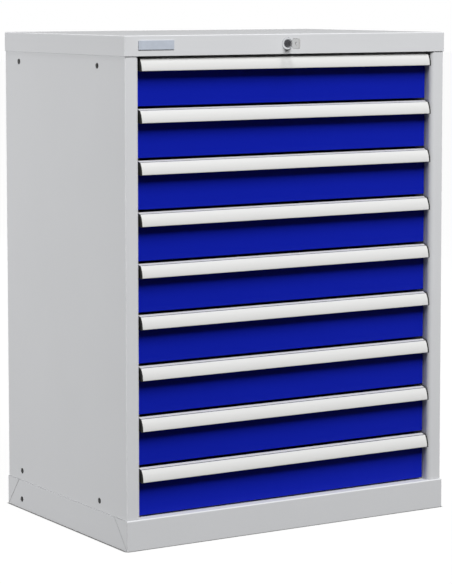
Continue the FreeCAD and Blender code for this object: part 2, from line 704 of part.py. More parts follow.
def rod_bracket():
    """Bracket under the cover that carries the rear end of the lock rod."""
    face = CRANK_FRONT - BRACKET_FROM_BAR
    outline = folded([
        (face - BRACKET_FOOT, ROOF), (face, ROOF), (face, LOCK_HEIGHT - BRACKET_BELOW_ROD),
    ], SHEET, -1)
    bracket = run_x(outline, -BRACKET_HALF_WIDTH, BRACKET_HALF_WIDTH)
    return bracket.cut(rod(ROD_RADIUS + ROD_CLEARANCE, face - SHEET - 1, face + 1, z=LOCK_HEIGHT))


def side_hole_plugs():
    """Plugs on both side panels and on both sides of the plinth."""
    places = [(BODY_HALF, y, z) for y, z in hole_places()]
    places.append((HALF_WIDTH, DEPTH - HOLE_FROM_BACK, PLINTH_HOLE_HEIGHT))
    right = [pin_across(HOLE_PLUG_RADIUS, x, x + HOLE_PLUG_DOME, y, z) for x, y, z in places]
    return right + [mirrored(plug) for plug in right]


def save(name, pieces):
    """Writes the pieces of one node, moved into the frame."""
    placed = [piece.translated(Vector(0, -Y_ORIGIN, 0)) for piece in pieces]
    for solid in placed:
        if not solid.isValid() or not solid.isClosed():
            raise ValueError(f"{name} has a solid that is not closed and valid")
    shape = placed[0].Solids[0] if len(placed) == 1 else Part.makeCompound([s.Solids[0] for s in placed])
    shape.exportStep(f"parts/{name}.step")


def save_casing():
    """Casing, plinth, cover, uprights and the outer rails."""
    side = side_panel()
    save("right_side_panel", [side])
    save("left_side_panel", [mirrored(side)])
    save("back_panel", [back_panel()])
    save("bottom_panel", [bottom_panel()])
    save("top_cover", [top_cover()])
    save("front_crossbar", [front_crossbar()])
    front = plinth_front()
    save("plinth_front", [front])
    save("plinth_rear", [to_back(front)])
    flank = plinth_side()
    save("plinth_side_right", [flank])
    save("plinth_side_left", [mirrored(flank)])
    save("runner_uprights", runner_uprights())
    rails = [lifted(cabinet_rail(), base) for base in cell_bases()]
    save("cabinet_rails_right", rails)
    save("cabinet_rails_left", [mirrored(rail) for rail in rails])
    save("side_hole_plugs", side_hole_plugs())


def save_drawers():
    """Tray, handle, end caps and middle runners of every drawer, counted from the top."""
    rail = drawer_rail()
    tray = [drawer_front(), tray_box(), rail, mirrored(rail), catch()]
    grip = [handle()]
    cap = end_cap()
    caps = [cap, mirrored(cap)]
    runner = [middle_rail()] + rollers()
    runners = runner + [mirrored(piece) for piece in runner]
    for number, base in enumerate(cell_bases(), start=1):
        kinds = {"tray": tray, "handle": grip, "end_caps": caps, "middle_runners": runners}
        for kind, pieces in kinds.items():
            save(f"drawer_{number}_{kind}", [lifted(piece, base) for piece in pieces])


def save_lock():
    """Lock, key and linkage, drawn about the middle and moved across to the lock's place."""
    levels = [PLINTH_HEIGHT + PITCH * i for i in range(GUIDE_STEP - 1, DRAWERS, GUIDE_STEP)]
    nodes = {
        "lock_body": [lock_body()],
        "lock_nut": [lock_nut()],
        "lock_plug": [lock_plug()],
        "key": [key()],
        "lock_rod": [lock_rod()],
        "lock_rod_bracket": [rod_bracket()],
        "lock_bar": [lock_bar()],
        "lock_hooks": [lifted(hook(), base) for base in cell_bases()],
        "lock_bar_guides": [lifted(bar_guide(), level) for level in levels],
    }
    for name, pieces in nodes.items():
        save(name, [piece.translated(Vector(LOCK_OFFSET, 0, 0)) for piece in pieces])


os.makedirs("parts", exist_ok=True)
save_casing()
save_drawers()
save_lock()
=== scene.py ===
"""Looks of a tool cabinet with a stack of equal drawers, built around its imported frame.

Sizes in the classes are millimetres. Places are counted from the middle plane, the plinth's front face and
the floor, and the Datum turns them into the frame's metres: +X to the right seen from the front, +Y to the
back and +Z up.
"""

import logging
import math
from dataclasses import dataclass
from enum import Enum
from typing import Any, Iterable, Optional, Sequence, Union

import bmesh
import bpy
from mathutils import Euler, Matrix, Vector

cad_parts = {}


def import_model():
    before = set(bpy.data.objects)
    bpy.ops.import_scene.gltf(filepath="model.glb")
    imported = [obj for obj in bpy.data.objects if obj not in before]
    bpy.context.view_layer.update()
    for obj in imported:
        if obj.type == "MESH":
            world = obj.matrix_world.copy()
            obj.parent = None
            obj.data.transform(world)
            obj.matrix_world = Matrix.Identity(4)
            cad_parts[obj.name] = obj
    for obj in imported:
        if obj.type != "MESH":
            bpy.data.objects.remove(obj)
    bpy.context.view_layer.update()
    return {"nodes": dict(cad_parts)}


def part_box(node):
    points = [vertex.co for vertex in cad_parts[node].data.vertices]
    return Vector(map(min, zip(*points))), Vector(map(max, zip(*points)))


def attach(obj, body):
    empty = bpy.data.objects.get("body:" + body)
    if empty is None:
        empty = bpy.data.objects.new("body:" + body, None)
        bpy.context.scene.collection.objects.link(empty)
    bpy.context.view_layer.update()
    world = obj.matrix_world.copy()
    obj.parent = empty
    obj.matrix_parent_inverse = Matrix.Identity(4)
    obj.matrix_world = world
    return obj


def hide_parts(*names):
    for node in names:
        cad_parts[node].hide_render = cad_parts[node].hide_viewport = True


LOG = logging.getLogger("tool_cabinet")

MM = 0.001
IMAGE_WIDTH = 452
IMAGE_HEIGHT = 584
SHARP_DEGREES = 32.0
BEVEL_DEGREES = 28.0
WELD_GAP = 0.01
LEAST_ROUND = 0.1
# Where a mask starts and where it is full
EDGE_TURN = (0.995, 0.85)
OPEN_SKY = (0.95, 0.7)

Point = tuple[float, float]
Corner = tuple[float, float, float]
Socket = bpy.types.NodeSocket
Tree = bpy.types.NodeTree
Material = bpy.types.Material


class Axis(Enum):
    """The direction that an outline is drawn across, as places of its two coordinates and of the depth."""

    X = (1, 2, 0)
    Y = (0, 2, 1)
    Z = (0, 1, 2)

    def place(self, u: float, v: float, along: float) -> list[float]:
        """Puts an outline's point in space.

        Args:
            u: First coordinate in the outline.
            v: Second coordinate in the outline.
            along: Depth of the outline.

        Returns:
            Its coordinates in X, Y, Z order.
        """
        out = [0.0, 0.0, 0.0]
        for where, value in zip(self.value, (u, v, along)):
            out[where] = value
        return out


class Slot(Enum):
    """The record's material slots."""

    CASING = "casing_grey"
    FRONT = "front_blue"
    HANDLE = "handle_aluminium"
    CAP = "cap_black"
    GUIDE = "guide_plastic"
    RUNNER = "runner_zinc"
    LOCK = "lock_chrome"
    KEY = "key_steel"


# Outlines


def arc_points(centre: Point, radius: float, start: float, end: float, steps: int) -> list[Point]:
    """Points along an arc.

    Args:
        centre: Centre of the arc.
        radius: Its radius.
        start: Angle of the first point, in radians.
        end: Angle of the last point, in radians.
        steps: Number of chords.

    Returns:
        The points, both ends included.
    """
    turns = [start + (end - start) * i / steps for i in range(steps + 1)]
    return [(centre[0] + radius * math.cos(a), centre[1] + radius * math.sin(a)) for a in turns]


def rounded(corners: Sequence[Corner], closed: bool = True, steps: int = 4) -> list[Point]:
    """Outline with its corners rounded off.

    Args:
        corners: Points with the radius wanted at each, 0 for a sharp one.
        closed: False leaves the two ends as they are.
        steps: Number of chords in each rounded corner.

    Returns:
        The points of the outline.
    """
    out: list[Point] = []
    count = len(corners)
    for i, (u, v, radius) in enumerate(corners):
        here = Vector((u, v))
        if radius <= 0 or (not closed and i in (0, count - 1)):
            out.append((u, v))
            continue
        back = (Vector(corners[i - 1][:2]) - here).normalized()
        ahead = (Vector(corners[(i + 1) % count][:2]) - here).normalized()
        half = back.angle(ahead) / 2
        middle = here + (back + ahead).normalized() * (radius / math.sin(half))
        first = here + back * (radius / math.tan(half)) - middle
        last = here + ahead * (radius / math.tan(half)) - middle
        start = math.atan2(first.y, first.x)
        turn = math.remainder(math.atan2(last.y, last.x) - start, 2 * math.pi)
        out += arc_points((middle.x, middle.y), radius, start, start + turn, steps)
    return out


def quarter(steps: int) -> list[float]:
    """Angles from 0 to a quarter turn, in radians."""
    return [math.radians(90 * i / steps) for i in range(steps + 1)]


def circle(radius: float, sides: int, centre: Point = (0.0, 0.0)) -> list[Point]:
    """Points round a circle, the first one not repeated."""
    return arc_points(centre, radius, 0, 2 * math.pi, sides)[:-1]


def bent_sheet(points: Sequence[Point], sheet: float, bend: float) -> list[Point]:
    """Outline of folded sheet metal.

    Args:
        points: Corners of the sheet's middle line, from one edge to the other.
        sheet: Its thickness.
        bend: Radius of the middle line at each bend.

    Returns:
        The closed outline.
    """
    line = [Vector(p) for p in rounded([(u, v, bend) for u, v in points], closed=False)]
    sides: tuple[list[Point], list[Point]] = ([], [])
    for i, here in enumerate(line):
        run = (line[min(i + 1, len(line) - 1)] - line[max(i - 1, 0)]).normalized()
        for side, sign in zip(sides, (1, -1)):
            out = here + Vector((-run.y, run.x)) * (sign * sheet / 2)
            side.append((out.x, out.y))
    return sides[0] + sides[1][::-1]


def rounded_box(half_width: float, low: float, high: float, radius: float, inset: float = 0.0) -> list[Point]:
    """Rounded rectangle about the middle plane.

    Args:
        half_width: Half its width.
        low: Height of its lower edge.
        high: Height of its upper edge.
        radius: Radius of its corners.
        inset: How far it is drawn in all round.

    Returns:
        The points of the outline.
    """
    wide = half_width - inset
    bottom, top = low + inset, high - inset
    turn = max(radius - inset, LEAST_ROUND)
    return rounded([(-wide, bottom, turn), (wide, bottom, turn), (wide, top, turn), (-wide, top, turn)])


# Meshes


@dataclass(frozen=True)
class Datum:
    """Zero of the cabinet's own sizes: middle plane, plinth's front face, floor."""

    front_y: float

    @classmethod
    def from_frame(cls) -> "Datum":
        """Reads the plinth's front face off the frame."""
        return cls(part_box("plinth_front")[0].y)

    def at(self, x: float, y: float, z: float) -> Vector:
        """A place in millimetres as a point of the frame."""
        return Vector((x * MM, y * MM + self.front_y, z * MM))

    def of(self, node: str) -> tuple[Vector, Vector]:
        """Measures a CAD node.

        Args:
            node: Its name.

        Returns:
            Its lowest and highest corner in millimetres from this zero.
        """
        low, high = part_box(node)
        zero = Vector((0, self.front_y, 0))
        return (low - zero) / MM, (high - zero) / MM

    def axis_of(self, node: str) -> Point:
        """Where the middle of a CAD node lies across and up, in millimetres."""
        low, high = self.of(node)
        return (low.x + high.x) / 2, (low.z + high.z) / 2


class Workpiece:
    """A mesh while it is being made, out of one or more closed bodies."""

    def __init__(self, datum: Datum) -> None:
        """Starts with nothing.

        Args:
            datum: Zero of all the sizes that are given later.
        """
        self.datum = datum
        self.mesh = bmesh.new()

    def loft(self, axis: Axis, loops: Sequence[tuple[float, Sequence[Point]]], ring: bool = False) -> None:
        """Adds a skin over loops with as many points each.

        Args:
            axis: Direction that the loops follow one another in.
            loops: Depth and outline of each.
            ring: Joins the last loop to the first, where both ends would otherwise be capped.
        """
        rows = [
            [self.mesh.verts.new(self.datum.at(*axis.place(u, v, along))) for u, v in outline]
            for along, outline in loops
        ]
        pairs = list(zip(rows, rows[1:]))
        if ring:
            pairs.append((rows[-1], rows[0]))
        for one, two in pairs:
            for i, corner in enumerate(one):
                j = (i + 1) % len(one)
                self.mesh.faces.new((corner, one[j], two[j], two[i]))
        if not ring:
            self.mesh.faces.new(rows[0])
            self.mesh.faces.new(rows[-1])

    def extrude(self, axis: Axis, outline: Sequence[Point], start: float, end: float) -> None:
        """Adds an outline drawn out from one depth to another."""
        self.loft(axis, [(start, outline), (end, outline)])

    def lathe(
        self, axis: Axis, centre: Point, profile: Sequence[Point], sides: int = 48, ring: bool = False
    ) -> None:
        """Adds a turned body.

        Args:
            axis: The line it is turned about.
            centre: Where that line crosses the outline plane.
            profile: Depth and radius of each station.
            sides: Number of faces round it.
            ring: True where the profile closes on itself round a hole.
        """
        self.loft(axis, [(along, circle(radius, sides, centre)) for along, radius in profile], ring)

    def plate(self, axis: Axis, outlines: Sequence[Sequence[Point]], start: float, end: float) -> None:
        """Adds a flat plate.

        Args:
            axis: Direction that its faces look in.
            outlines: Its edge, then its holes.
            start: Depth of one face.
            end: Depth of the other.
        """
        edges = []
        for outline in outlines:
            row = [self.mesh.verts.new(self.datum.at(*axis.place(u, v, start))) for u, v in outline]
            edges += [self.mesh.edges.new((corner, row[i - 1])) for i, corner in enumerate(row)]
        filled = bmesh.ops.triangle_fill(self.mesh, use_beauty=True, edges=edges)
        faces = [item for item in filled["geom"] if isinstance(item, bmesh.types.BMFace)]
        raised = bmesh.ops.extrude_face_region(self.mesh, geom=faces, use_keep_orig=True)
        lifted = [item for item in raised["geom"] if isinstance(item, bmesh.types.BMVert)]
        bmesh.ops.translate(self.mesh, verts=lifted, vec=Vector(axis.place(0, 0, (end - start) * MM)))

    def box(self, x: Point, y: Point, z: Point) -> None:
        """Adds a block between pairs of limits."""
        self.extrude(Axis.Z, [(x[0], y[0]), (x[1], y[0]), (x[1], y[1]), (x[0], y[1])], *z)

    def both_sides(self) -> None:
        """Adds the same again on the other side of the middle plane."""
        everything = self.mesh.verts[:] + self.mesh.edges[:] + self.mesh.faces[:]
        copy = bmesh.ops.duplicate(self.mesh, geom=everything)
        verts = [item for item in copy["geom"] if isinstance(item, bmesh.types.BMVert)]
        bmesh.ops.scale(self.mesh, verts=verts, vec=(-1, 1, 1))

    def build(
        self, name: str, finish: Material, body: str, slot: Optional[Slot] = None,
        edge: float = 0.0, replaces: Iterable[str] = (),
    ) -> bpy.types.Object:
        """Turns the mesh into a piece that rides on a body.

        Args:
            name: Name of the piece.
            finish: Its material.
            body: The CAD body it moves with.
            slot: The record's slot that its finish belongs to; not used.
            edge: Radius of its soft edges.
            replaces: CAD nodes that it stands for.

        Returns:
            The new object.
        """
        bmesh.ops.recalc_face_normals(self.mesh, faces=self.mesh.faces[:])
        data = bpy.data.meshes.new(name)
        self.mesh.to_mesh(data)
        self.mesh.free()
        piece = bpy.data.objects.new(name, data)
        bpy.context.scene.collection.objects.link(piece)
        data.materials.append(finish)
        shade(piece)
        if edge:
            ease(piece, edge)
        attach(piece, body)
        nodes = list(replaces)
        if nodes:
            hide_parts(*nodes)
        LOG.info("%s: %d faces on body %s", name, len(data.polygons), body)
        return piece


def shade(piece: bpy.types.Object) -> None:
    """Smooths the faces of a piece and keeps its corners crisp."""
    piece.data.shade_smooth()
    piece.data.set_sharp_from_angle(angle=math.radians(SHARP_DEGREES))


def ease(piece: bpy.types.Object, radius: float, segments: int = 3) -> None:
    """Gives the corners of a piece a soft edge.

    Args:
        piece: The object.
        radius: Radius of the edge, in millimetres.
        segments: Number of faces across it.
    """
    joined = piece.modifiers.new("joined", "WELD")
    joined.merge_threshold = WELD_GAP * MM
    soft = piece.modifiers.new("soft_edges", "BEVEL")
    soft.width = radius * MM
    soft.segments = segments
    soft.limit_method = "ANGLE"
    soft.angle_limit = math.radians(BEVEL_DEGREES)
    soft.use_clamp_overlap = True
    # Large faces set the normals, so that the ends of a sheet don't tilt the long narrow faces of its bends
    even = piece.modifiers.new("even_normals", "WEIGHTED_NORMAL")
    even.mode = "FACE_AREA"
    even.weight = 100
    even.keep_sharp = True


# Materials


def linear(colour: str) -> tuple[float, float, float, float]:
    """Turns a colour to linear.

    Args:
        colour: Six hex digits of sRGB.

    Returns:
        Linear RGBA.
    """
    shares = [int(colour[i : i + 2], 16) / 255 for i in (0, 2, 4)]
    red, green, blue = [c / 12.92 if c <= 0.04045 else ((c + 0.055) / 1.055) ** 2.4 for c in shares]
    return (red, green, blue, 1.0)


def add_node(
    tree: Tree, kind: str, settings: Optional[dict[str, Any]] = None,
    inputs: Optional[dict[Union[str, int], Any]] = None,
) -> bpy.types.Node:
    """Adds a node with its settings and links.

    Args:
        tree: Where it goes.
        kind: Its type after the word ShaderNode, such as TexNoise.
        settings: Attributes of the node.
        inputs: A value, or another node's socket, for each input by its name or place.

    Returns:
        The node.
    """
    node = tree.nodes.new("ShaderNode" + kind)
    for name, value in (settings or {}).items():
        setattr(node, name, value)
    for name, value in (inputs or {}).items():
        if isinstance(value, bpy.types.NodeSocket):
            tree.links.new(value, node.inputs[name])
        else:
            node.inputs[name].default_value = value
    return node


def start_material(name: str) -> tuple[Material, Tree, Socket]:
    """Makes an empty node material.

    Args:
        name: Its name.

    Returns:
        The material, its nodes and the socket of its frame coordinates, in metres.
    """
    material = bpy.data.materials.new(name)
    material.use_nodes = True
    tree = material.node_tree
    tree.nodes.clear()
    return material, tree, add_node(tree, "TexCoord").outputs["Object"]


def dimmed(colour: Sequence[float], light: float) -> list[float]:
    """A linear colour that gives back only a share of its light."""
    return [c * light for c in colour[:3]] + [1.0]


def edge_mask(tree: Tree, radius: float) -> Socket:
    """Pattern of the piece's edges.

    Args:
        tree: Where its nodes go.
        radius: Reach from the edge, in millimetres.

    Returns:
        1 at the edges and 0 on the flats.
    """
    soft = add_node(tree, "Bevel", {"samples": 4}, {"Radius": radius * MM}).outputs[0]
    flat = add_node(tree, "NewGeometry").outputs["Normal"]
    turned = add_node(tree, "VectorMath", {"operation": "DOT_PRODUCT"}, {0: soft, 1: flat})
    start, full = EDGE_TURN
    return add_node(tree, "MapRange", inputs={
        "Value": turned.outputs["Value"], "From Min": start, "From Max": full}).outputs[0]


def crevice_mask(tree: Tree, reach: float) -> Socket:
    """Ambient occlusion pattern of grooves, slots and lines of contact, for painting shade in them.

    Args:
        tree: Where its nodes go.
        reach: How far away a face still counts, in millimetres.

    Returns:
        1 inside them and 0 on open faces.
    """
    around = add_node(tree, "AmbientOcclusion", {"samples": 8}, {"Distance": reach * MM})
    start, full = OPEN_SKY
    return add_node(tree, "MapRange", inputs={
        "Value": around.outputs["AO"], "From Min": start, "From Max": full}).outputs[0]


def close_surface(
    tree: Tree, base: Sequence[float], layers: Iterable[tuple[Socket, Sequence[float]]],
    gloss: tuple[Socket, float, float], relief: tuple[Socket, float], inputs: dict[str, Any],
) -> None:
    """Ends a material: colours laid over one another, gloss, relief and the shader.

    Args:
        tree: The material's nodes.
        base: Undermost colour.
        layers: Pattern from 0 to 1 and colour of each layer over it.
        gloss: Pattern from 0 to 1, with the roughness at either end.
        relief: Pattern of the height, with its depth in millimetres.
        inputs: What else the shader is given.
    """
    colour: Union[Socket, Sequence[float]] = base
    for share, paint in layers:
        mixed = add_node(tree, "Mix", {"data_type": "RGBA"}, {0: share, 6: colour, 7: paint})
        colour = mixed.outputs[2]
    rough = add_node(tree, "MapRange", inputs={"Value": gloss[0], "To Min": gloss[1], "To Max": gloss[2]})
    bump = add_node(tree, "Bump", inputs={
        "Height": relief[0], "Strength": 1.0, "Distance": relief[1] * MM})
    shader = add_node(tree, "BsdfPrincipled", inputs={
        "Base Color": colour, "Roughness": rough.outputs[0], "Normal": bump.outputs[0], **inputs})
    add_node(tree, "OutputMaterial", inputs={"Surface": shader.outputs[0]})


@dataclass(frozen=True)
class PowderCoat:
    """Polyester powder baked on steel: even colour, faint orange peel, painted light at edges, painted shade
    at grazing angles.
    """

    name: str
    colour: str
    # Painted light at the edges: a darker grey is painted shade, a lighter blue is a painted highlight
    painted_edge_colour: str
    roughness: float
    specular: float
    ior: float = 1.5
    peel: float = 5.0
    peel_depth: float = 0.035
    cloud: float = 170.0
    cloud_light: float = 0.96
    edge_reach: float = 1.2
    gloss_patch: float = 30.0
    gloss_below: float = 0.04
    gloss_above: float = 0.05
    # Painted shade at grazing angles: facing limits and darkest share
    shade_facing_limits: Point = (0.7, 0.92)
    painted_grazing_shade: float = 0.0

    def make(self) -> Material:
        """Builds the coat.

        Returns:
            The material.
        """
        material, tree, place = start_material(self.name)
        # The real peel is about 2 mm wide, and it is drawn wider so that it shows
        clouds, patches, peel = [
            add_node(tree, "TexNoise", inputs={
                "Vector": place, "Scale": 1 / (grain * MM), "Detail": detail}).outputs[0]
            for grain, detail in ((self.cloud, 3), (self.gloss_patch, 2), (self.peel, 1.5))
        ]
        # Painted shade: the coat is darkened towards black where it is seen at a grazing angle, which dims
        # the top faces
        facing = add_node(tree, "LayerWeight", inputs={"Blend": 0.5}).outputs["Facing"]
        start, full = self.shade_facing_limits
        painted_shade_share = add_node(tree, "MapRange", inputs={
            "Value": facing, "From Min": start, "From Max": full, "To Max": self.painted_grazing_shade}).outputs[0]
        gloss = (patches, self.roughness - self.gloss_below, self.roughness + self.gloss_above)
        base = linear(self.colour)
        # Layers over the random tone: painted light at the edges, then painted shade at grazing angles
        layers = (
            (clouds, base), (edge_mask(tree, self.edge_reach), linear(self.painted_edge_colour)),
            (painted_shade_share, linear("000000")))
        close_surface(tree, dimmed(base, self.cloud_light), layers, gloss, (peel, self.peel_depth), {
            "Specular IOR Level": self.specular, "IOR": self.ior})
        return material


@dataclass(frozen=True)
class AnodisedAluminium:
    """Extruded and satin anodised aluminium: pale, soft gloss, fine die lines, painted shade in its groove.
    """

    name: str
    colour: str
    groove_shade_colour: str
    metallic: float
    roughness: float
    line: float = 1.2
    line_length: float = 260.0
    line_depth: float = 0.012
    line_light: float = 0.965
    groove_reach: float = 3.0
    gloss_below: float = 0.03
    gloss_above: float = 0.04

    def make(self) -> Material:
        """Builds the extrusion's finish.

        Returns:
            The material.
        """
        material, tree, place = start_material(self.name)
        stretch = (self.line / self.line_length, 1.0, 1.0)
        drawn = add_node(tree, "Mapping", inputs={"Vector": place, "Scale": stretch}).outputs[0]
        # Real die lines are under 0.1 mm apart, and they are drawn wider so that they show
        lines = add_node(tree, "TexNoise", inputs={
            "Vector": drawn, "Scale": 1 / (self.line * MM), "Detail": 2}).outputs[0]
        gloss = (lines, self.roughness - self.gloss_below, self.roughness + self.gloss_above)
        base = linear(self.colour)
        # Painted shade: the groove and other crevices turn near black where ambient occlusion finds them
        layers = ((lines, base), (crevice_mask(tree, self.groove_reach), linear(self.groove_shade_colour)))
        close_surface(tree, dimmed(base, self.line_light), layers, gloss, (lines, self.line_depth), {
            "Metallic": self.metallic})
        return material


@dataclass(frozen=True)
class MouldedPlastic:
    """Injection moulded plastic: even colour with a fine spark-eroded grain."""

    name: str
    colour: str
    roughness: float
    specular: float = 0.3
    ior: float = 1.49
    patch: float = 12.0
    patch_light: float = 0.85
    grain: float = 1.5
    grain_depth: float = 0.03

    def make(self) -> Material:
        """Builds the plastic.

        Returns:
            The material.
        """
        material, tree, place = start_material(self.name)
        patches, grain = [
            add_node(tree, "TexNoise", inputs={
                "Vector": place, "Scale": 1 / (size * MM), "Detail": detail}).outputs[0]
            for size, detail in ((self.patch, 2), (self.grain, 3))
        ]
        base = linear(self.colour)
        gloss = (patches, self.roughness, self.roughness)
        relief = (grain, self.grain_depth)
        close_surface(tree, dimmed(base, self.patch_light), [(patches, base)], gloss, relief, {
            "IOR": self.ior, "Specular IOR Level": self.specular})
        return material


@dataclass(frozen=True)
class PlatedMetal:
    """Metal plate on steel or brass: zinc is cloudy and soft, chrome and nickel are clear and hard.

    An edge colour paints shade on the edges, dark and barely metallic.
    """

    name: str
    colour: str
    cloud_colour: str
    roughness: float
    cloud: float
    scratch_depth: float
    scratch: float = 2.0
    gloss_shares: Point = (0.8, 1.3)
    painted_edge_colour: Optional[str] = None
    edge_reach: float = 2.2
    shaded_edge_metallic: float = 0.1

    def make(self) -> Material:
        """Builds the plating.

        Returns:
            The material.
        """
        material, tree, place = start_material(self.name)
        clouds, scratches = [
            add_node(tree, "TexNoise", inputs={
                "Vector": place, "Scale": 1 / (size * MM), "Detail": 4}).outputs[0]
            for size in (self.cloud, self.scratch)
        ]
        layers = [(clouds, linear(self.colour))]
        metallic: Union[Socket, float] = 1.0
        # Painted shade at the edges: a dark colour and less metal
        if self.painted_edge_colour:
            edges = edge_mask(tree, self.edge_reach)
            layers.append((edges, linear(self.painted_edge_colour)))
            metallic = add_node(tree, "MapRange", inputs={
                "Value": edges, "To Min": 1.0, "To Max": self.shaded_edge_metallic}).outputs[0]
        smooth, rough = self.gloss_shares
        gloss = (clouds, self.roughness * smooth, self.roughness * rough)
        close_surface(tree, linear(self.cloud_colour), layers, gloss, (scratches, self.scratch_depth), {
            "Metallic": metallic})
        return material


class Finishes:
    """Every material of the cabinet."""

    def __init__(self) -> None:
        """Builds them all."""
        # Edge colours are painted light: painted shade on the grey, a painted highlight on the blue; the grey
        # also has painted shade at grazing angles
        self.casing = PowderCoat(
            "grey_powder_coat", "CFD0D2", "A4A5A7", 0.55, 0.12, painted_grazing_shade=0.42).make()
        self.front = PowderCoat("blue_powder_coat", "0F1EA2", "1B2CBA", 0.5, 0.06).make()
        # The handle's groove colour is painted shade
        self.handle = AnodisedAluminium(
            "satin_anodised_aluminium", "D2D2D1", "20201F", 0.2, 0.42).make()
        self.cap = MouldedPlastic("black_moulded_abs", "0C0C0C", 0.34, specular=0.3).make()
        self.guide = MouldedPlastic("natural_acetal", "DEDCD2", 0.4).make()
        self.runner = PlatedMetal("bright_zinc_plate", "C4C8CC", "A9ADB0", 0.32, 25, 0.01).make()
        self.chrome = PlatedMetal("chrome_plate", "D2D4D7", "C6C8CB", 0.12, 15, 0.002).make()
        # Head and plug of the lock: a dark plate as painted reflection and painted shade
        self.shaded_lock_plate = PlatedMetal("lock_plate_painted_shade", "5E5E62", "505054", 0.3, 8, 0.002).make()
        # The key's dark edge colour is painted shade on its rim
        self.key = PlatedMetal(
            "nickel_silver", "ECECEB", "E0E0DE", 0.1, 6, 0.004, painted_edge_colour="4A4A48").make()
        self.plate = MouldedPlastic("pale_grey_plate", "B8BFCA", 0.4).make()


# Sub-assemblies


@dataclass
class Casing:
    """Grey sheet steel casing with its cover, plinth and the uprights and rails inside."""

    datum: Datum
    finishes: Finishes
    soft_edge: float = 0.7
    sheet_edge: float = 0.5
    shell: tuple[str, ...] = ("right_side_panel", "left_side_panel", "top_cover")
    sheets: tuple[str, ...] = (
        "plinth_front", "plinth_rear", "plinth_side_right", "plinth_side_left", "back_panel", "bottom_panel",
        "front_crossbar", "runner_uprights",
    )
    rails: tuple[str, ...] = ("cabinet_rails_right", "cabinet_rails_left")
    plug_head: float = 5.8
    plug_dome: float = 1.2
    plug_flat: float = 0.3
    plug_foot: float = 0.99
    plug_steps: int = 6
    plug_front: float = 114.0
    plug_rear: float = 452.0
    plug_low: float = 80.0
    plug_high: float = 940.0
    plinth_plug_height: float = 20.0

    def dress(self, nodes: dict[str, bpy.types.Object]) -> None:
        """Gives the sheet metal its coat and soft bends.

        Args:
            nodes: The frame's CAD nodes by name.
        """
        for names, edge, finish in (
            (self.shell, self.soft_edge, self.finishes.casing),
            (self.sheets, self.sheet_edge, self.finishes.casing),
            (self.rails, self.sheet_edge, self.finishes.runner),
        ):
            for name in names:
                dress_node(nodes[name], finish, edge)

    def build_plugs(self) -> None:
        """Domed plugs in the holes of the sides and the plinth."""
        body_half = self.datum.of("right_side_panel")[1].x
        plinth_half = self.datum.of("plinth_front")[1].x
        depths, heights = (self.plug_front, self.plug_rear), (self.plug_low, self.plug_high)
        places = [(body_half, y, z) for y in depths for z in heights]
        places.append((plinth_half, self.plug_rear, self.plinth_plug_height))
        curved = 1 - self.plug_flat
        piece = Workpiece(self.datum)
        for x, y, z in places:
            profile = [(x, self.plug_head * self.plug_foot)]
            profile += [
                (x + self.plug_dome * math.sin(a), self.plug_head * (self.plug_flat + curved * math.cos(a)))
                for a in quarter(self.plug_steps)
            ]
            piece.lathe(Axis.X, (y, z), profile, sides=24)
        piece.both_sides()
        piece.build("hole_plugs", self.finishes.cap, "root", Slot.CAP, replaces=["side_hole_plugs"])


def dress_node(node: bpy.types.Object, finish: Material, edge: float) -> None:
    """Gives a CAD node a material and soft edges, and leaves its own mesh as it is.

    Args:
        node: The CAD node.
        finish: Its material.
        edge: Radius of its soft edges, in millimetres.
    """
    if not node.material_slots:
        raise ValueError(f"{node.name} has no material slot")
    for place in node.material_slots:
        place.material = finish
    ease(node, edge, segments=2)
    LOG.info("%s: %s", node.name, finish.name)


@dataclass
class NamePlate:
    """Bare plate at the left of the cover's front."""

    datum: Datum
    finishes: Finishes
    left: float = -350.0
    right: float = -271.0
    low: float = 972.6
    high: float = 990.3
    thickness: float = 1.5
    corner: float = 1.2
    edge: float = 0.3

    def build(self) -> None:
        """Makes the plate with softened edges."""
        face = self.datum.of("top_cover")[0].y
        outline = rounded([
            (self.left, self.low, self.corner), (self.right, self.low, self.corner),
            (self.right, self.high, self.corner), (self.left, self.high, self.corner)])
        piece = Workpiece(self.datum)
        piece.plate(Axis.Y, [outline], face - self.thickness, face)
        piece.build("name_plate", self.finishes.plate, "root", edge=self.edge)


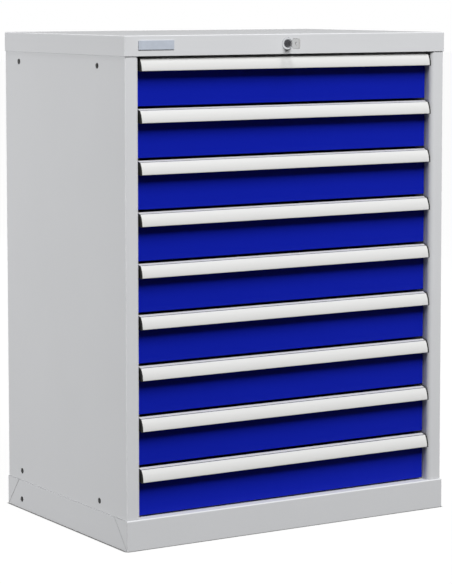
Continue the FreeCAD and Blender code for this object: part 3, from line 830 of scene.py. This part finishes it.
@dataclass
class Drawer:
    """A drawer: blue front, tray, grip handle with its caps, and the runners at its sides."""

    datum: Datum
    finishes: Finishes
    number: int
    front_clearance: float = 3.5
    front_depth: float = 13.0
    front_sheet: float = 1.2
    front_edge: float = 1.1
    front_edge_steps: int = 4
    front_corner: float = 1.6
    tray_sheet: float = 1.0
    tray_half: float = 335.5
    tray_low: float = 8.0
    tray_high: float = 88.0
    tray_rim: float = 4.0
    bend: float = 1.6
    rail_sheet: float = 1.5
    rail_depth: float = 5.8
    rail_half_height: float = 17.0
    rail_middle: float = 50.0
    rail_setback: float = 35.0
    catch_sheet: float = 2.0
    catch_half: float = 12.0
    catch_high: float = 80.0
    catch_leg: float = 14.0
    catch_reach: float = 12.0
    catch_lip: float = 16.0
    handle_wall: float = 1.8
    handle_reach: float = 19.1
    handle_drop: float = 27.0
    crest_reach: float = 11.8
    crest_drop: float = 3.5
    leg_drop: float = 19.0
    groove_behind_crest: float = 1.6
    groove_width: float = 1.9
    groove_depth: float = 1.2
    heel_round: float = 0.3
    crest_round: float = 0.7
    leg_round: float = 0.4
    lip_share: float = 0.45
    cap_tail: float = 3.5
    cap_edge: float = 0.5
    cap_heel_round: float = 0.4
    cap_round: float = 0.8
    web_inner: float = 341.8
    middle_half_height: float = 20.0
    middle_lip: float = 3.2
    roller_radius: float = 15.2
    roller_spread: float = 190.0
    roller_end: float = 20.0
    roller_hub: float = 9.0
    roller_gap: float = 0.3
    roller_rim: float = 3.0
    roller_dish: float = 0.8
    rivet: tuple[Point, ...] = ((0.8, 4.5), (0.2, 4.0), (0.0, 2.6))

    @property
    def body(self) -> str:
        """Name of the drawer's CAD body."""
        return f"drawer_{self.number}"

    @property
    def base(self) -> float:
        """Height of the bottom of the drawer's place."""
        return self.front_low - self.front_clearance

    @property
    def front_low(self) -> float:
        """Height of the lower edge of the front."""
        return self.datum.of(f"{self.body}_tray")[0].z

    @property
    def front_face(self) -> float:
        """Depth of the front's face."""
        return self.datum.of(f"{self.body}_tray")[0].y

    def build_all(self) -> None:
        """Makes every piece of the drawer."""
        self.build_front()
        self.build_tray()
        self.build_rails()
        self.build_handle()
        self.build_caps()
        self.build_middle_runners()

    def build_front(self) -> None:
        """Shallow pan with rounded edges, open to the back."""
        low, high = self.datum.of(f"{self.body}_tray")
        y, rim, sheet = self.front_face, self.front_edge, self.front_sheet
        loops = [
            (y + rim * (1 - math.cos(a)), rim * (1 - math.sin(a))) for a in quarter(self.front_edge_steps)]
        loops += [(y + self.front_depth, 0.0), (y + self.front_depth, sheet), (y + sheet, sheet)]
        corner = self.front_corner + rim
        piece = Workpiece(self.datum)
        piece.loft(Axis.Y, [
            (along, rounded_box(high.x, low.z, high.z, corner, inset)) for along, inset in loops])
        piece.build(
            f"{self.body}_front", self.finishes.front, self.body, Slot.FRONT, replaces=[f"{self.body}_tray"])

    def build_tray(self) -> None:
        """Folded floor and sides with turned-out rims, and the two end walls."""
        sheet = self.tray_sheet
        side = self.tray_half - sheet / 2
        low = self.base + self.tray_low + sheet / 2
        high = self.base + self.tray_high - sheet / 2
        start = self.front_face + self.front_sheet
        end = self.datum.of(f"{self.body}_tray")[1].y - self.catch_reach
        section = bent_sheet([
            (-self.tray_half - self.tray_rim, high), (-side, high), (-side, low),
            (side, low), (side, high), (self.tray_half + self.tray_rim, high)], sheet, self.bend)
        piece = Workpiece(self.datum)
        piece.extrude(Axis.Y, section, start, end)
        for y in (start, end - sheet):
            piece.box((-side, side), (y, y + sheet), (low, high + sheet / 2))
        piece.build(f"{self.body}_tray_box", self.finishes.casing, self.body, Slot.CASING)

    def build_rails(self) -> None:
        """Channel on each side of the tray, and the catch on its back."""
        middle = self.base + self.rail_middle
        half = self.rail_half_height - self.rail_sheet / 2
        web = self.tray_half + self.rail_sheet / 2
        mouth = self.tray_half + self.rail_depth
        end = self.datum.of(f"{self.body}_tray")[1].y - self.catch_reach
        section = bent_sheet([
            (mouth, middle + half), (web, middle + half), (web, middle - half), (mouth, middle - half),
        ], self.rail_sheet, self.bend)
        piece = Workpiece(self.datum)
        piece.extrude(Axis.Y, section, self.rail_setback, end)
        piece.both_sides()
        thick = self.catch_sheet / 2
        high = self.base + self.catch_high
        strip = bent_sheet([
            (end + thick, high - self.catch_leg), (end + thick, high - thick),
            (end + self.catch_reach - thick, high - thick),
            (end + self.catch_reach - thick, high - self.catch_lip),
        ], self.catch_sheet, self.bend)
        x = self.datum.axis_of("lock_plug")[0]
        piece.extrude(Axis.X, strip, x - self.catch_half, x + self.catch_half)
        piece.build(f"{self.body}_rails", self.finishes.runner, self.body, Slot.RUNNER)

    def grip_face(self, top: float, wall: float, steps: int = 14) -> list[Point]:
        """Curved face of the handle from its crest down to its lip.

        Args:
            top: Height of the handle's rear edge.
            wall: How far inside the face the line runs.
            steps: Number of chords.

        Returns:
            Its points in depth and height.
        """
        bulge = self.handle_reach - self.crest_reach
        height = self.handle_drop - self.crest_drop
        radius = (height ** 2 + bulge ** 2) / (2 * bulge)
        centre = (self.front_face - self.handle_reach + radius, top - self.handle_drop)
        crest = math.pi - math.asin(height / radius)
        return arc_points(centre, radius - wall, crest, math.pi, steps)

    def build_handle(self) -> None:
        """Grip section with a groove along its top and a rolled lip."""
        low, high = self.datum.of(f"{self.body}_handle")
        y, top, wall = self.front_face, high.z, self.handle_wall
        slope = self.crest_drop / self.crest_reach
        outer = self.grip_face(top, 0)
        inner = self.grip_face(top, wall)[::-1]
        ahead = self.crest_reach - self.groove_behind_crest
        behind = ahead - self.groove_width
        deep = self.groove_depth
        groove = [(behind, 0.0), (behind, deep), (ahead, deep), (ahead, 0.0)]
        under, foot, leg = top - wall - wall * slope, top - self.leg_drop, self.leg_round
        corners: list[Corner] = [(y, top, self.heel_round)]
        corners += [(y - reach, top - slope * reach - depth, 0.0) for reach, depth in groove]
        corners += [(*outer[0], self.crest_round)] + [(*p, 0.0) for p in outer[1:-1]]
        corners += [(*outer[-1], wall * self.lip_share), (*inner[0], wall * self.lip_share)]
        corners += [(*p, 0.0) for p in inner[1:-1]] + [(*inner[-1], leg)]
        corners += [(y - wall, under, leg), (y - wall, foot, leg), (y, foot, leg)]
        piece = Workpiece(self.datum)
        piece.extrude(Axis.X, rounded(corners), low.x, high.x)
        piece.build(
            f"{self.body}_grip", self.finishes.handle, self.body, Slot.HANDLE,
            replaces=[f"{self.body}_handle"])

    def build_caps(self) -> None:
        """Moulded plate on each end of the handle."""
        high = self.datum.of(f"{self.body}_end_caps")[1]
        inside = self.datum.of(f"{self.body}_handle")[1].x
        face = self.grip_face(high.z, 0)
        y, low = self.front_face, high.z - self.handle_drop - self.handle_wall / 2
        turn = self.cap_round
        corners: list[Corner] = [(y, high.z, self.cap_heel_round), (*face[0], turn)]
        corners += [(*p, 0.0) for p in face[1:-1]]
        corners += [(face[-1][0], low, turn), (y, low + self.cap_tail, turn)]
        piece = Workpiece(self.datum)
        piece.plate(Axis.X, [rounded(corners)], inside, high.x)
        piece.both_sides()
        piece.build(
            f"{self.body}_caps", self.finishes.cap, self.body, Slot.CAP, edge=self.cap_edge,
            replaces=[f"{self.body}_end_caps"])

    def build_middle_runners(self) -> None:
        """Z-shaped rail on each side with its four riveted rollers."""
        low, high = self.datum.of(f"{self.body}_middle_runners")
        sheet, middle = self.rail_sheet, self.base + self.rail_middle
        web = self.web_inner + sheet / 2
        half = self.middle_half_height - sheet / 2
        section = bent_sheet([
            (web + sheet / 2 + self.middle_lip, middle + half), (web, middle + half),
            (web, middle - half), (web - sheet / 2 - self.middle_lip, middle - half),
        ], sheet, self.bend)
        piece = Workpiece(self.datum)
        piece.extrude(Axis.Y, section, low.y, high.y)
        width = high.x - web - sheet / 2
        front, rear = low.y + self.roller_end, high.y - self.roller_end
        for face, sign, depths in (
            (self.web_inner, -1, (front, front + self.roller_spread)),
            (self.web_inner + sheet, 1, (rear - self.roller_spread, rear)),
        ):
            for y in depths:
                piece.lathe(Axis.X, (y, middle), self.roller_profile(face, sign, width), sides=40)
        piece.both_sides()
        piece.build(
            f"{self.body}_runners", self.finishes.runner, f"runner_{self.number}", Slot.RUNNER,
            replaces=[f"{self.body}_middle_runners"])

    def roller_profile(self, face: float, sign: int, width: float) -> list[Point]:
        """Profile of a roller with a dished side and the head of its rivet.

        Args:
            face: Where the face of the rail lies.
            sign: 1 or -1 for the side that it stands out to.
            width: Its width.

        Returns:
            Depth and radius of each station, from the rail outwards.
        """
        radius, hub, gap, dish = self.roller_radius, self.roller_hub, self.roller_gap, self.roller_dish
        tread = [
            (gap, radius - 0.6), (gap + 0.4, radius), (width - 0.5, radius), (width, radius - 0.6),
            (width, radius - self.roller_rim)]
        rivet = [(width - below, size) for below, size in self.rivet]
        stations = [(0.0, hub), (gap, hub), *tread, (width - dish, radius - self.roller_rim - dish), *rivet]
        return [(face + sign * along, size) for along, size in stations]


@dataclass
class Lock:
    """Round lock with its key in the cover, and the linkage behind the drawers."""

    datum: Datum
    finishes: Finishes
    rosette_radius: float = 12.5
    rosette_front: float = -1.5
    dome_steps: int = 5
    head_radius: float = 8.5
    head_front: float = -7.0
    head_round: float = 0.5
    head_round_middle: float = 0.15
    funnel_radius: float = 7.5
    funnel_lip: float = 0.1
    funnel_depth: float = 0.8
    bore_radius: float = 6.55
    barrel_radius: float = 9.5
    plug_radius: float = 6.4
    keyway_half_width: float = 1.3
    keyway_half_height: float = 3.8
    keyway_round: float = 0.4
    blade_half: float = 3.5
    notches: int = 4
    notch_pitch: float = 3.6
    notch_depth: float = 1.4
    notch_share: float = 0.4
    bow_length: float = 24.0
    bow_half: float = 10.3
    bow_corner: float = 4.5
    bow_hole: float = 2.8
    bow_hole_share: float = 0.45
    neck_taper: float = 2.0
    neck_length: float = 6.0
    neck_half: float = 5.2
    neck_rounds: Point = (1.0, 0.8)
    blade_round: float = 0.3
    notch_round: float = 0.2
    tip_rounds: Point = (0.4, 0.5)
    edge: float = 0.25
    linkage_edge: float = 0.3
    guide_edge: float = 0.5
    linkage: tuple[str, ...] = ("lock_nut", "lock_rod", "lock_rod_bracket", "lock_bar", "lock_hooks")

    @property
    def axis(self) -> Point:
        """Where the lock's axis lies across and up."""
        return self.datum.axis_of("lock_plug")

    def dress(self, nodes: dict[str, bpy.types.Object]) -> None:
        """Gives the linkage its plating and the guides their plastic.

        Args:
            nodes: The frame's CAD nodes by name.
        """
        for name in self.linkage:
            dress_node(nodes[name], self.finishes.runner, self.linkage_edge)
        dress_node(nodes["lock_bar_guides"], self.finishes.guide, self.guide_edge)

    def build_housing(self) -> None:
        """Turned parts round the plug: bright rosette and barrel, head in painted reflection and shade,
        bright bevel of the funnel.
        """
        cover, back = self.datum.of("top_cover")[0].y, self.datum.of("lock_body")[1].y
        front, step, width = self.head_front, self.rosette_front, self.rosette_radius - self.head_radius
        dome = [
            (step + (cover - step) * (1 - math.cos(a)), self.head_radius + width * math.sin(a))
            for a in quarter(self.dome_steps)
        ]
        rosette = [
            *dome, (cover, self.barrel_radius), (back, self.barrel_radius), (back, self.bore_radius),
            (step, self.bore_radius)]
        edge, middle, lip = self.head_round, self.head_round_middle, front + self.funnel_lip
        head = [
            (front + self.funnel_depth, self.funnel_radius), (front, self.funnel_radius),
            (front, self.head_radius - edge), (front + middle, self.head_radius - middle),
            (front + edge, self.head_radius), (step, self.head_radius), (step, self.funnel_radius)]
        bevel = [
            (front + self.funnel_depth, self.bore_radius), (lip, self.funnel_radius - self.funnel_lip),
            (lip, self.funnel_radius), (step, self.funnel_radius), (step, self.bore_radius)]
        for name, profile, finish, nodes in (
            ("lock_rosette", rosette, self.finishes.chrome, ["lock_body"]),
            ("lock_head", head, self.finishes.shaded_lock_plate, []),
            ("lock_bevel", bevel, self.finishes.chrome, []),
        ):
            piece = Workpiece(self.datum)
            piece.lathe(Axis.Y, self.axis, profile, sides=64, ring=True)
            piece.build(name, finish, "root", Slot.LOCK, replaces=nodes)

    def build_plug(self) -> None:
        """Plug with its keyway, in painted reflection and shade."""
        low, high = self.datum.of("lock_plug")
        (x, z), wide, tall = self.axis, self.keyway_half_width, self.keyway_half_height
        turn = self.keyway_round
        slot = rounded([
            (x - wide, z - tall, turn), (x + wide, z - tall, turn), (x + wide, z + tall, turn),
            (x - wide, z + tall, turn)])
        piece = Workpiece(self.datum)
        piece.plate(Axis.Y, [circle(self.plug_radius, sides=48, centre=(x, z)), slot], low.y, high.y)
        piece.build(
            "lock_core", self.finishes.shaded_lock_plate, "lock_cylinder", Slot.LOCK, edge=self.edge,
            replaces=["lock_plug"])

    def build_key(self) -> None:
        """Flat key: rounded bow with a hole, shouldered neck and a notched blade."""
        low, high = self.datum.of("key")
        z, tip = self.axis[1], high.y
        half, bow, turn = self.blade_half, self.bow_half, self.bow_corner
        side = self.neck_half
        start = low.y + self.bow_length
        neck, blade = start + self.neck_taper, start + self.neck_length
        (wide, narrow), small = self.neck_rounds, self.blade_round
        point, nose = self.tip_rounds
        corners: list[Corner] = [
            (low.y, z - bow, turn), (start, z - bow, turn), (neck, z - side, wide), (blade, z - side, narrow),
            (blade, z - half, small)]
        for i in reversed(range(self.notches)):
            y = tip - self.notch_pitch * (i + 1)
            reach = self.notch_pitch * self.notch_share
            top, brim = z - half + self.notch_depth, self.notch_round
            corners += [(y - reach, z - half, brim), (y, top, small), (y + reach, z - half, brim)]
        corners += [
            (tip - half / 2, z - half, small), (tip, z, point), (tip - half, z + half, nose),
            (blade, z + half, small), (blade, z + side, narrow), (neck, z + side, wide),
            (start, z + bow, turn), (low.y, z + bow, turn)]
        hole = circle(self.bow_hole, sides=24, centre=(low.y + self.bow_length * self.bow_hole_share, z))
        piece = Workpiece(self.datum)
        piece.plate(Axis.X, [rounded(corners), hole], low.x, high.x)
        piece.build("flat_key", self.finishes.key, "key", Slot.KEY, edge=self.edge, replaces=["key"])


# Studio


@dataclass(frozen=True)
class PhotoCamera:
    """Camera of the reference view, counted from the plinth's front left corner."""

    focal_px: float = 2304.1
    yaw_degrees: float = 31.74
    pitch_degrees: float = -5.111
    roll_degrees: float = 0.033
    shift_y: float = -0.158
    x: float = -2146.7
    y: float = -3836.1
    z: float = 1079.5
    sensor_mm: float = 36.0
    clip: Point = (0.1, 200.0)

    def build(self, datum: Datum) -> None:
        """Makes the scene's camera.

        Args:
            datum: Zero of its place.
        """
        data = bpy.data.cameras.new("photo_camera")
        data.sensor_width = self.sensor_mm
        data.lens = self.focal_px / max(IMAGE_WIDTH, IMAGE_HEIGHT) * self.sensor_mm
        data.shift_y = self.shift_y
        data.clip_start, data.clip_end = self.clip
        camera = bpy.data.objects.new("photo_camera", data)
        left = datum.of("plinth_front")[0].x
        camera.location = datum.at(left + self.x, self.y, self.z)
        turns = (90 + self.pitch_degrees, self.roll_degrees, -self.yaw_degrees)
        camera.rotation_euler = Euler([math.radians(turn) for turn in turns])
        bpy.context.scene.collection.objects.link(camera)
        bpy.context.scene.camera = camera


@dataclass(frozen=True)
class Softbox:
    """Square area lamp that doesn't show in reflections."""

    name: str
    place: tuple[float, float, float]
    aim: tuple[float, float, float]
    size: float
    power: float

    def build(self) -> None:
        """Makes the lamp, turned towards its aim."""
        data = bpy.data.lights.new(self.name, "AREA")
        data.shape, data.size, data.energy = "SQUARE", self.size, self.power
        lamp = bpy.data.objects.new(self.name, data)
        lamp.location = self.place
        lamp.visible_glossy = False
        lamp.rotation_euler = (Vector(self.aim) - Vector(self.place)).to_track_quat("-Z", "Y").to_euler()
        bpy.context.scene.collection.objects.link(lamp)


@dataclass
class Studio:
    """Floor and surroundings that look white, and soft lamps."""

    floor_half: float = 30.0
    floor_colour: str = "303030"
    floor_glow: float = 0.97
    contact_reach: float = 6.5
    ambient: float = 0.01
    lamps: tuple[Softbox, ...] = (
        Softbox("front_softbox", (0.1, -6.2, 8.35), (0.0, 0.0, 0.5), 5.2, 1560.0),
        Softbox("left_softbox", (-4.6, 0.9, 1.2), (-0.38, 0.0, 0.7), 2.2, 158.0),
        Softbox("right_softbox", (4.6, 0.9, 1.2), (0.38, 0.0, 0.7), 2.2, 158.0),
        Softbox("back_softbox", (0.0, 5.2, 1.3), (0.0, 0.0, 0.7), 2.5, 168.0),
    )

    def build(self) -> None:
        """Makes the floor, the world and the lamps, and sets the plain view."""
        bpy.context.scene.view_settings.view_transform = "Standard"
        self.build_floor()
        self.build_world()
        for lamp in self.lamps:
            lamp.build()

    @staticmethod
    def seen(tree: Tree) -> Socket:
        """Finds the rays that show the surroundings: from the camera, in a reflection or through glass.

        Args:
            tree: Where its nodes go.

        Returns:
            1 for such a ray and 0 for any other.
        """
        path = add_node(tree, "LightPath")
        total = path.outputs["Is Camera Ray"]
        for name in ("Is Glossy Ray", "Is Transmission Ray"):
            rays = {0: total, 1: path.outputs[name]}
            total = add_node(tree, "Math", {"operation": "MAXIMUM"}, rays).outputs[0]
        return total

    def build_floor(self) -> None:
        """White to the eye, with the object's soft shadow and a painted contact shadow where it stands."""
        size = self.floor_half
        data = bpy.data.meshes.new("studio_floor")
        square = [(-size, -size, 0), (size, -size, 0), (size, size, 0), (-size, size, 0)]
        data.from_pydata(square, [], [(0, 1, 2, 3)])
        floor = bpy.data.objects.new("studio_floor", data)
        bpy.context.scene.collection.objects.link(floor)
        material, tree, _ = start_material("studio_paper")
        paper = add_node(tree, "BsdfDiffuse", inputs={"Color": linear(self.floor_colour)})
        # Painted contact shadow: the paper's glow is dimmed where the plinth stands on it
        clear = add_node(tree, "MapRange", inputs={
            "Value": crevice_mask(tree, self.contact_reach), "To Min": 1.0, "To Max": 0.0})
        strength: Union[Socket, float] = self.floor_glow
        for share in (self.seen(tree), clear.outputs[0]):
            less = add_node(tree, "Math", {"operation": "MULTIPLY"}, {0: share, 1: strength})
            strength = less.outputs[0]
        glow = add_node(tree, "Emission", inputs={"Strength": strength})
        both = add_node(tree, "AddShader", inputs={0: paper.outputs[0], 1: glow.outputs[0]})
        add_node(tree, "OutputMaterial", inputs={"Surface": both.outputs[0]})
        data.materials.append(material)

    def build_world(self) -> None:
        """White where it is seen and grey where it lights."""
        world = bpy.data.worlds.new("studio_world")
        bpy.context.scene.world = world
        world.use_nodes = True
        tree = world.node_tree
        tree.nodes.clear()
        strength = add_node(tree, "MapRange", inputs={
            "Value": self.seen(tree), "To Min": self.ambient, "To Max": 1.0})
        white = add_node(tree, "Background", inputs={
            "Color": linear("FFFFFF"), "Strength": strength.outputs[0]})
        add_node(tree, "OutputWorld", inputs={"Surface": white.outputs[0]})


def corners(box: tuple[Vector, Vector]) -> list[list[float]]:
    """A box as plain lists of numbers."""
    return [list(corner) for corner in box]


def main() -> None:
    """Loads the frame and builds everything on it."""
    logging.basicConfig(level=logging.INFO, format="%(name)s: %(message)s")
    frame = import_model()
    datum = Datum.from_frame()
    finishes = Finishes()
    casing = Casing(datum, finishes)
    casing.dress(frame["nodes"])
    casing.build_plugs()
    NamePlate(datum, finishes).build()
    drawers = sum(name.endswith("_handle") for name in frame["nodes"])
    for number in range(1, drawers + 1):
        Drawer(datum, finishes, number).build_all()
    lock = Lock(datum, finishes)
    lock.dress(frame["nodes"])
    lock.build_housing()
    lock.build_plug()
    lock.build_key()
    PhotoCamera().build(datum)
    Studio().build()


if __name__ == "__main__":
    main()
